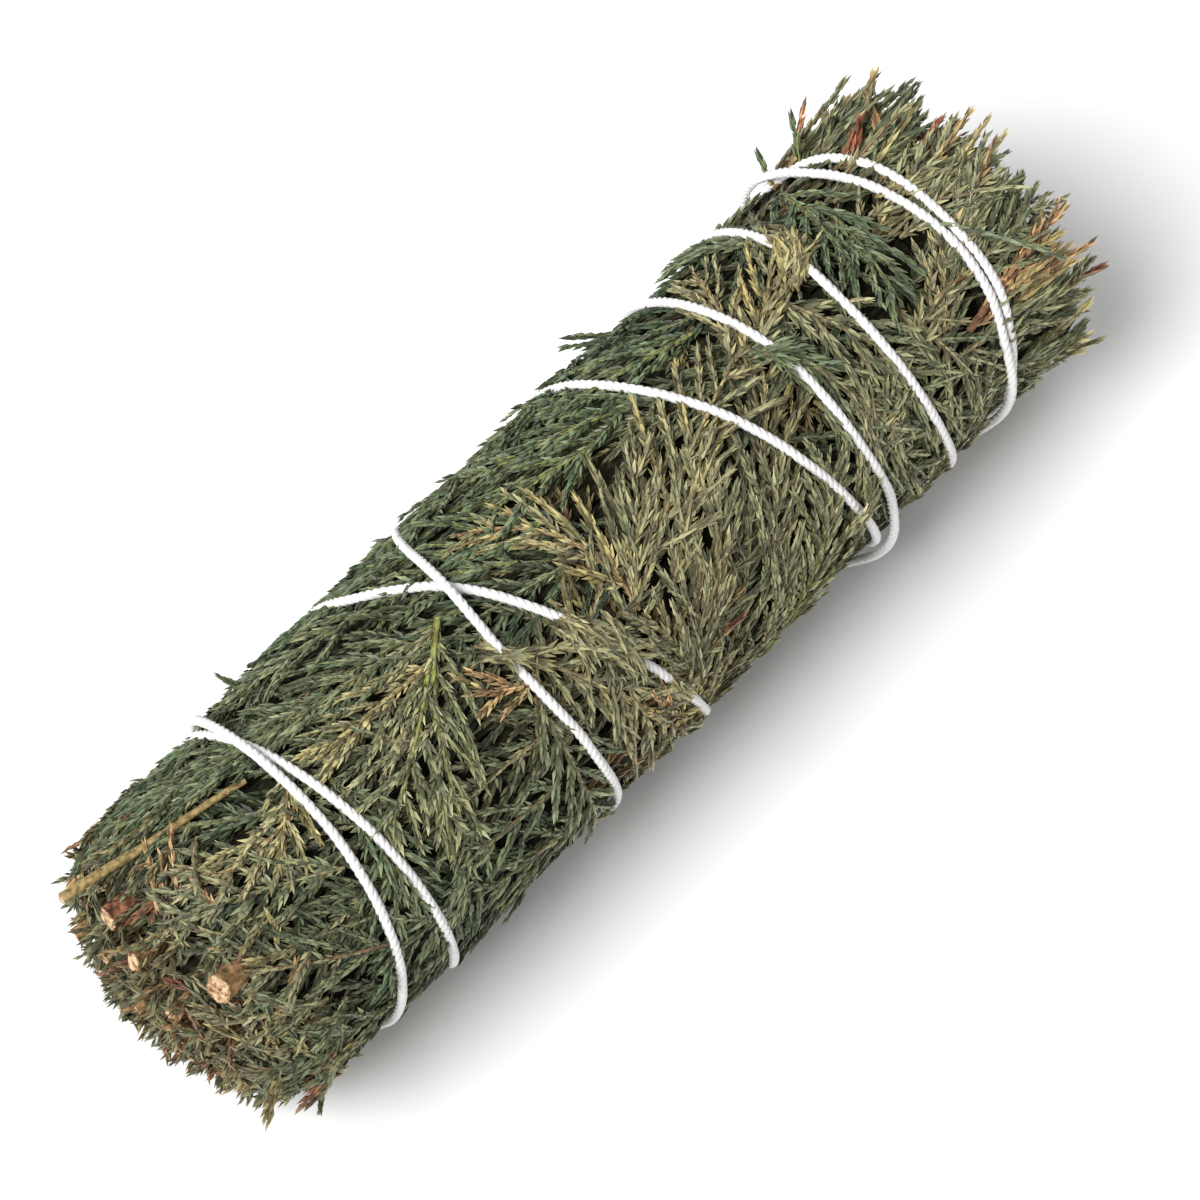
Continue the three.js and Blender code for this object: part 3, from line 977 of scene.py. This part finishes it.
def endShoots(layer, index, count, low, high, rng):
    made = []
    for end, way in (("tips", 1), ("cut", -1)):
        about = ends[end]
        for _ in range(about["count"][layer]):
            radius = math.sqrt(rng.uniform(low**2, high**2)) * mm
            degrees = (index + rng.uniform(0, 1)) * 360 / count
            out = radialOf(np.array(degrees))
            length = rng.uniform(*about["length"]) * mm
            domed = about["dome"] * mm * math.sqrt(1 - (radius / (20 * mm)) ** 2)
            reach = about["flat"] * mm + domed - rng.uniform(0, 2) * mm
            start = out * radius + np.array([way * (reach - length), 0, bundle["axisHeight"]])
            lean = about["lean"] + rng.normal(0, 0.13)
            across = np.cross(out, (1, 0, 0)) * rng.normal(0, 0.26)
            aim = unit(np.array([way, 0, 0]) + out * lean + across)
            bend = (out * rng.normal(-0.05, 0.15) + across * 1.5) * length
            share = np.linspace(0, 1, shoots["steps"] + 1)[:, None]
            line = start + aim * length * share + bend * share**2 * 0.5
            line[:, 2] = np.maximum(line[:, 2], bundle["floorGap"])
            turn = unit(np.cross(aim, rng.normal(0, 1, 3)))
            outward = np.repeat(turn[None], len(line), 0)
            chance = [0.22, 0.3, 0.26, 0.16, 0.04, 0.02] if way > 0 else [0.1, 0.2, 0.26, 0.24, 0.12, 0.08]
            pale = rng.choice([0.12, 0.3, 0.42, 0.6, 0.8, 0.95], p=chance)
            plump = rng.uniform(1.0, 1.25) if way > 0 else rng.uniform(0.9, 1.1)
            made.append(shoot(line, outward, pale, rng.uniform(0.3, 1), plump, 1.2))
    return made


# single bits that catch the eye:
# x, radius, degrees, lengthwise, outward and round parts of the aim, length, dryness
looseBits = [
    (63, 16.5, -62, (1, 0.25, -0.2), 8, 0.74),
    (64, 16.5, -58, (1, 0.3, -0.1), 7, 0.7),
    (61, 17, -26, (0.8, 0.1, 0.9), 7, 0.02),
    (57, 18.3, -57, (0.4, 0.9, -0.4), 4.5, 0.05),
    (53, 18.3, -62, (0.3, 1, -0.3), 3.5, 0.05),
    (57.5, 18.6, -30, (1, 0.16, 0.3), 4.5, 1.0),
    (58, 18.8, -27, (0.9, 0.1, 0.5), 4, 0.98),
    (62, 18, -8, (1, 0.3, 0.1), 4.5, 1.0),
    (62, 18, -5, (1, 0.3, 0.4), 4, 0.98),
    (60, 17.6, -2, (1, 0.3, 0), 9, 0.76),
    (60, 17, 6, (1, 0.3, 0.1), 10, 0.66),
    (61, 17, 10, (1, 0.26, 0), 9, 0.62),
    (60, 18.6, 53, (1, 0.08, -0.12), 9.5, 0.8),
    (58, 18.6, 50, (1, 0.06, -0.05), 9, 0.7),
    (59, 18.8, 56, (1, 0.04, -0.08), 8, 0.72),
    (65, 17, 70, (1, 0.2, -0.1), 6, 0.98),
    (27, 18.4, -66, (-0.9, 0.5, -0.1), 5, 0.08),
    (26, 18.4, -64, (-0.9, 0.4, 0.1), 5, 0.05),
    (-35, 18.6, -58, (-0.5, 0.7, -0.5), 3.8, 0.1),
    (-63, 15, 88, (-0.8, 0.35, 0.2), 6, 0.66),
    (-62, 15, 96, (-0.9, 0.3, 0.1), 6, 0.6),
]


def looseShoots():
    made = []
    for x, radius, degrees, aim, length, dry in looseBits:
        out = radialOf(np.array(float(degrees)))
        around = np.cross((1, 0, 0), -out)
        way = unit(np.array([1.0, 0, 0]) * aim[0] + out * aim[1] + around * aim[2])
        share = np.linspace(0, 1, shoots["steps"] + 1)[:, None]
        start = out * radius * mm + np.array([x * mm, 0, bundle["axisHeight"]])
        line = start + way * length * mm * share + out * length * mm * 0.12 * share**2
        made.append(
            (
                x, degrees,
                shoot(line, np.repeat(unit(np.cross(way, around))[None], len(line), 0), dry, dry, 1.15, 1.8)
            )
        )
    return made


# stems cut through at the lower end:
# x of the face, radius and degrees of its place, radius of the stem, colour of the bark
cutStems = [
    (-66.0, 13.7, -31, 1.3, 0.05),
    (-67.2, 9.9, -13, 1.05, 0.3),
    (-64.8, 16.3, 31, 1.6, 0.35),
    (-64.0, 16.2, -70, 0.7, 0.5),
    (-64.8, 15.4, -108, 0.85, 0.5),
    (-66.2, 12.9, -149, 0.8, 0.4),
    (-67.2, 4.4, 40, 0.7, 0.1),
    (-66.6, 7.6, 150, 1.1, 0.1),
    (-65.4, 12.4, 175, 0.9, 0.2),
    (-67.6, 3.0, 230, 0.7, 0.3),
    (-66.8, 8.0, 285, 0.8, 0.2),
]


def stemMesh(name, line, radius, bark, rng, taper=1.0):
    sides = 12
    ways = unit(np.gradient(line, axis=0))
    first = unit(np.cross(ways, (0.2, 0.3, 0.93)))
    second = np.cross(ways, first)
    turn = np.linspace(0, 2 * math.pi, sides, endpoint=False)
    lumps = 1 + 0.1 * np.sin(turn * 2 + rng.uniform(0, 6)) + rng.normal(0, 0.035, sides)
    rings = []
    for k, spot in enumerate(line):
        narrowed = taper + (1 - taper) * k / (len(line) - 1)
        wobble = radius * lumps * (1 + 0.06 * math.sin(k * 1.9)) * narrowed
        circle = first[k] * np.cos(turn)[:, None] + second[k] * np.sin(turn)[:, None]
        rings.append(spot + circle * wobble[:, None])
    face = rings[-1]
    upward = (face - face.mean(0))[:, 2] * rng.uniform(-0.1, 0.35)
    slant = -ways[-1] * (upward + rng.normal(0, 0.1, sides) * radius)[:, None]
    rings[-1] = face + slant
    middle = face.mean(0)
    rings.append(middle + (face - middle) * 0.86 + slant * 0.86 + ways[-1] * 0.04 * mm)
    points = np.concatenate(rings + [line[:1], middle[None] + ways[-1] * 0.02 * mm])
    count, faces = len(rings), []
    for k in range(count - 1):
        for i in range(sides):
            j = (i + 1) % sides
            faces.append((k * sides + i, k * sides + j, (k + 1) * sides + j, (k + 1) * sides + i))
    for i in range(sides):
        j = (i + 1) % sides
        faces.append((j, i, count * sides))
        faces.append(((count - 1) * sides + i, (count - 1) * sides + j, count * sides + 1))
    mesh = bpy.data.meshes.new(name)
    mesh.from_pydata(points, [], faces)
    cut = np.zeros(len(points))
    cut[-(sides + 2) :] = 1
    cut[-2] = 0
    mesh.attributes.new("cut", "FLOAT", "POINT").data.foreach_set("value", cut)
    mesh.attributes.new("bark", "FLOAT", "POINT").data.foreach_set("value", np.full(len(points), bark))
    mesh.materials.append(stemFinish)
    return mesh


# the woody stems of one sprig, by where they come out
def stemsOf(layer, index, count, low, high, rng):
    meshes = []
    for x, radius, degrees, thick, bark in cutStems:
        if low <= radius < high and int((degrees % 360) / (360 / count)) == index:
            share = np.linspace(1, 0, 6)
            place = radialOf(np.full(6, float(degrees))) * (radius - 2.5 * share)[:, None] * mm
            place[:, 0] = (x + 14 * share) * mm
            place[:, 2] += bundle["axisHeight"]
            meshes.append(stemMesh("stem", place, thick * mm, bark, rng))
    if layer == "outer" and index == int(324 / (360 / count)):
        share = np.linspace(0, 1, 12)  # the long bare stem that lies on top
        line = onBundle(-46 * mm, -16.5, 1.3 * mm) * (1 - share[:, None])
        farEnd = radialOf(np.array(-37.0)) * 18.6 * mm + (-68.5 * mm, 0, bundle["axisHeight"])
        line += farEnd * share[:, None]
        line[:, 2] += 0.2 * mm * np.sin(share * 9)
        meshes.append(stemMesh("bare", line, 0.56 * mm, 0.75, rng, 0.6))
    return meshes


# the mass between the needles, coloured near-black as painted shade in the gaps: the sprig of the frame
# drawn in by a few millimetres
def packing(node):
    mesh = bmesh.new()
    mesh.from_mesh(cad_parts[node].data)
    bmesh.ops.remove_doubles(mesh, verts=mesh.verts, dist=0.001 * mm)
    for corner in mesh.verts:
        corner.co.x *= 0.95
        corner.co.y *= 0.87
        corner.co.z = bundle["axisHeight"] + (corner.co.z - bundle["axisHeight"]) * 0.87
    made = bpy.data.meshes.new("packing")
    mesh.to_mesh(made)
    mesh.free()
    made.materials.clear()
    made.materials.append(packingShadeFinish)
    return made


def joinMeshes(name, meshes):
    objects = [bpy.data.objects.new(name, mesh) for mesh in meshes]
    for item in objects:
        scene.collection.objects.link(item)
    with bpy.context.temp_override(
        active_object=objects[0], selected_objects=objects, selected_editable_objects=objects
    ):
        bpy.ops.object.join()
    return objects[0]


def addSprig(node, name, grownShoots, stems, tree):
    keys = ("outward", "dry", "stem", "plump", "woody", "depthShade")
    lines = [s["line"] for s in grownShoots]
    values = {}
    for key in keys:
        values[key] = [
            s[key] if key == "outward" else np.full(len(s["line"]), float(s[key])) for s in grownShoots
        ]
    sizes = {
        "Gap": shoots["gap"],
        "Needle length": shoots["needleLength"],
        "Needle width": shoots["needleWidth"],
        "Spread": shoots["spread"],
        "Twig radius": shoots["twigRadius"],
    }
    leaves = grown(lineMesh(name, lines, **values), tree, sizes)
    piece = joinMeshes(name, [leaves, packing(node), *stems])
    finish(piece, name, node)
    return sum(len(face.vertices) - 2 for face in piece.data.polygons)


def addSprigs():
    rng = np.random.default_rng(11)
    tree = needleTree()
    outerCount = 11
    made = shootsOf(fillingSprays(rng, outerCount) + chosenSprays, rng)
    made += coverShoots(rng) + crumbs(rng) + looseShoots()
    total = 0
    for layer, count, low, high in (
        ("outer", outerCount, 11, 19), ("inner", 7, 5, 11), ("core", 3, 0.5, 5)
    ):
        for index in range(count):
            mine = endShoots(layer, index, count, low, high, rng)
            if layer == "outer":
                mine += [s for x, degrees, s in made if int((degrees % 360) / (360 / count)) == index]
            stems = stemsOf(layer, index, count, low, high + 1.5, rng)
            node = f"sprig_{layer}_{index + 1:02d}"
            total += addSprig(node, f"juniper_{layer}_{index + 1:02d}", mine, stems, tree)
    print("sprigs grown:", len(made), "shoots,", total, "triangles")


addSprigs()


def addTable():
    mesh = bpy.data.meshes.new("table")
    size = 1.5
    mesh.from_pydata(
        [(-size, -size, 0), (size, -size, 0), (size, size, 0), (-size, size, 0)], [], [(0, 1, 2, 3)]
    )
    material, tree, shader = startMaterial("paleTable", 0.9, 0.1)
    shader.inputs["Base Color"].default_value = (0.95, 0.95, 0.95, 1)
    mesh.materials.append(material)
    table = bpy.data.objects.new("table", mesh)
    scene.collection.objects.link(table)


lights = {"sun": 3.5, "sunAngle": 40, "sky": 0.5, "from": (-0.85, 0.15, 1.0)}


def addLights():
    data = bpy.data.lights.new("window", "SUN")
    data.energy = lights["sun"]
    data.angle = math.radians(lights["sunAngle"])
    lamp = bpy.data.objects.new("window", data)
    lamp.rotation_euler = Vector(lights["from"]).to_track_quat("Z", "Y").to_euler()
    scene.collection.objects.link(lamp)
    world = bpy.data.worlds.new("studio")
    scene.world = world
    world.use_nodes = True
    sky = world.node_tree.nodes["Background"]
    sky.inputs["Color"].default_value = (1, 1, 1, 1)
    sky.inputs["Strength"].default_value = lights["sky"]
    scene.view_settings.view_transform = "Standard"
    scene.view_settings.look = "None"


addTable()
addLights()
print("table and light set")
